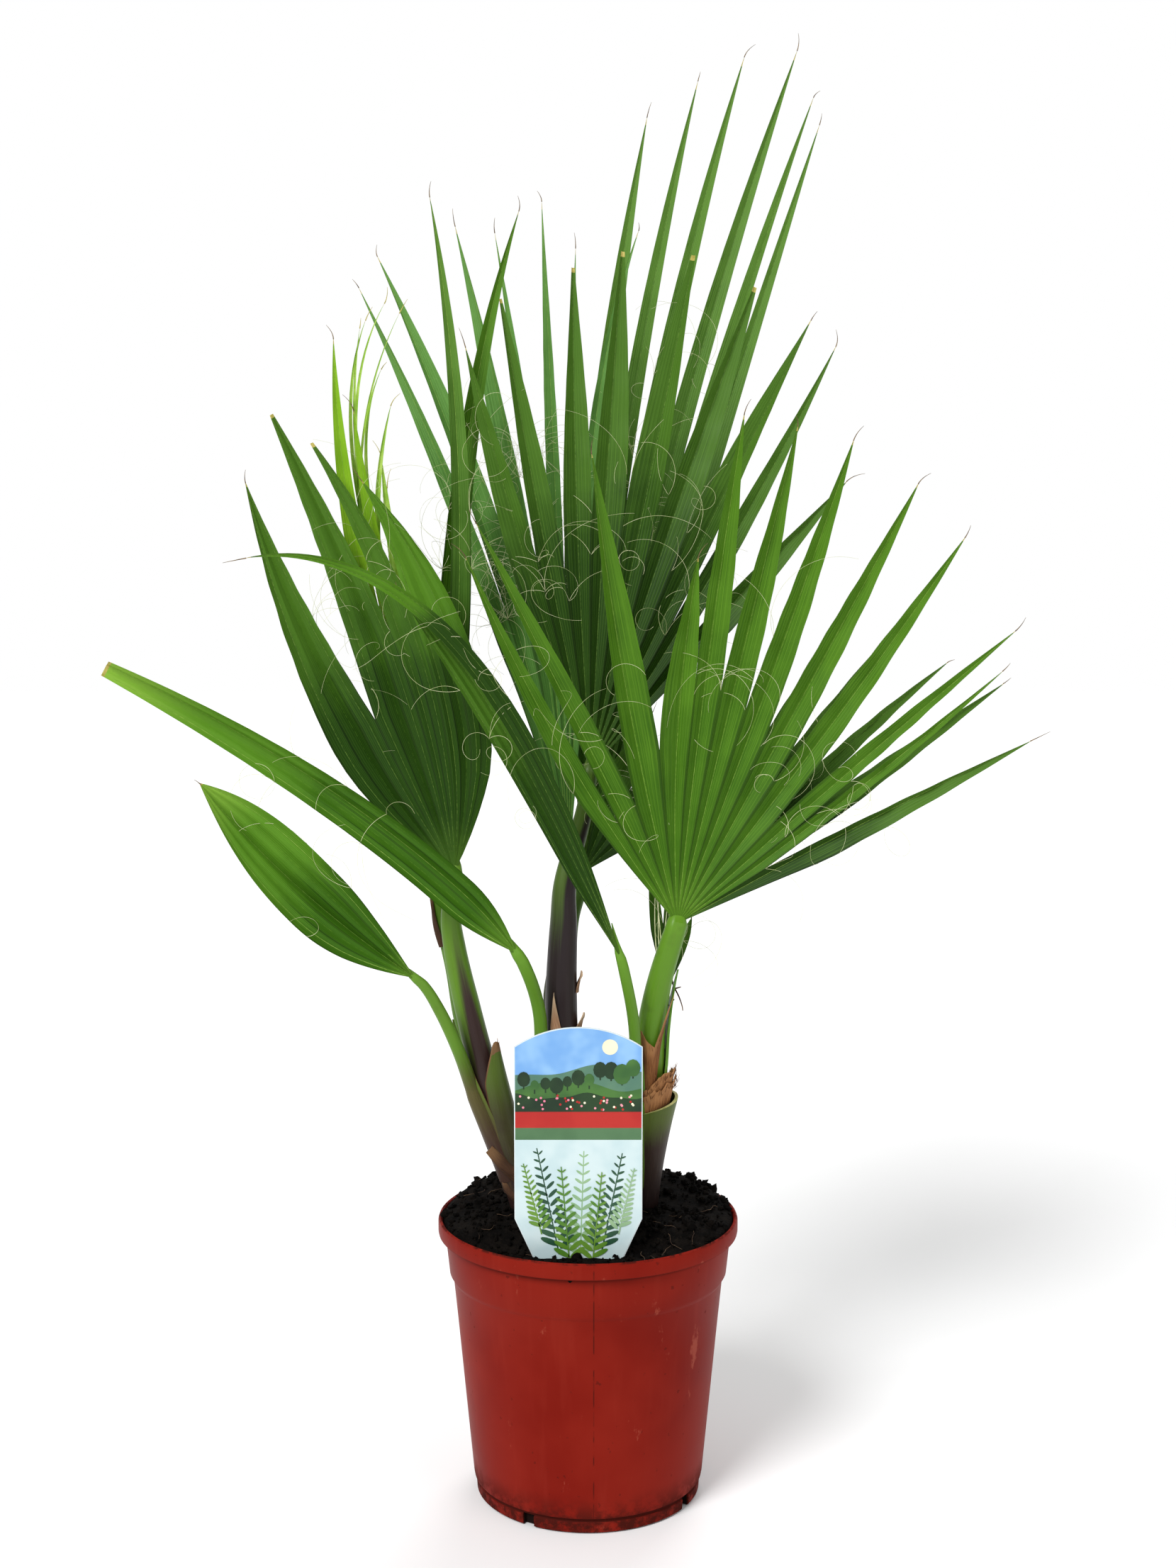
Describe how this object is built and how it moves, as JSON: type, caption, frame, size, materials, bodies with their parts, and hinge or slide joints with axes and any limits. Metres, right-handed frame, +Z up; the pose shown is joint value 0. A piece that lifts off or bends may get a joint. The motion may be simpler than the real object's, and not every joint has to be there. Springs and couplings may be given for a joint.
{
  "type": "potted young mexican fan palm",
  "caption": "Clump of young fan palms with pleated fan leaves on leaning stems, growing in a round terracotta-coloured plastic pot with a plain label.",
  "frame": {"origin": "middle of the pot's flat underside, where the pot stands", "axes": "+Z up along the pot's axis; -Y is the plant's front, where the label stands; +X to the right seen from the front"},
  "size_m": [0.5277, 0.2806, 0.8886],
  "materials": {
    "pot_plastic": "moulded terracotta coloured plastic, satin, lightly scuffed",
    "potting_soil": "loose dark peat with fibres and crumbs",
    "label_card": null,
    "stem_skin": "smooth leaf bases, purple brown below and green above",
    "cut_sheath": "cut green and brown leaf base, fibrous at the cut",
    "dry_husk": "dry brown fibrous husk",
    "leaf_stalk": "smooth green stalk with a pale edge",
    "bright_leaf": "pleated bright green blade, satin",
    "dark_leaf": "pleated dark green blade, satin",
    "blue_leaf": "pleated blue green blade, satin"
  },
  "bodies": {
    "root": {"pot": "pot_plastic", "soil": "potting_soil", "plant_label": "label_card", "stem_left": "stem_skin", "stem_middle": "stem_skin", "stem_right": "stem_skin", "sheath_left_cut": "cut_sheath", "sheath_right_cut": "cut_sheath", "husk_left_foot": "dry_husk", "husk_middle": "dry_husk", "husk_right": "dry_husk", "stalk_left_fan": "leaf_stalk", "stalk_middle_dark": "leaf_stalk", "stalk_right_fan": "leaf_stalk", "stalk_left_simple": "leaf_stalk", "stalk_left_young": "leaf_stalk", "stalk_middle_blue": "leaf_stalk", "stalk_middle_tall": "leaf_stalk", "stalk_middle_strap": "leaf_stalk", "stalk_right_strap": "leaf_stalk", "stalk_right_young": "leaf_stalk", "frond_right_fan": "bright_leaf", "frond_right_fan_behind": "bright_leaf", "frond_middle_dark": "dark_leaf", "frond_middle_blue": "blue_leaf", "frond_middle_tall": "dark_leaf", "frond_middle_tall_side": "dark_leaf", "frond_left_fan": "dark_leaf", "frond_left_young": "bright_leaf", "leaf_left_tall_strap": "bright_leaf", "frond_right_young": "dark_leaf", "leaf_left_simple": "bright_leaf", "leaf_middle_strap": "bright_leaf", "leaf_right_strap": "dark_leaf"}
  },
  "joints": []
}
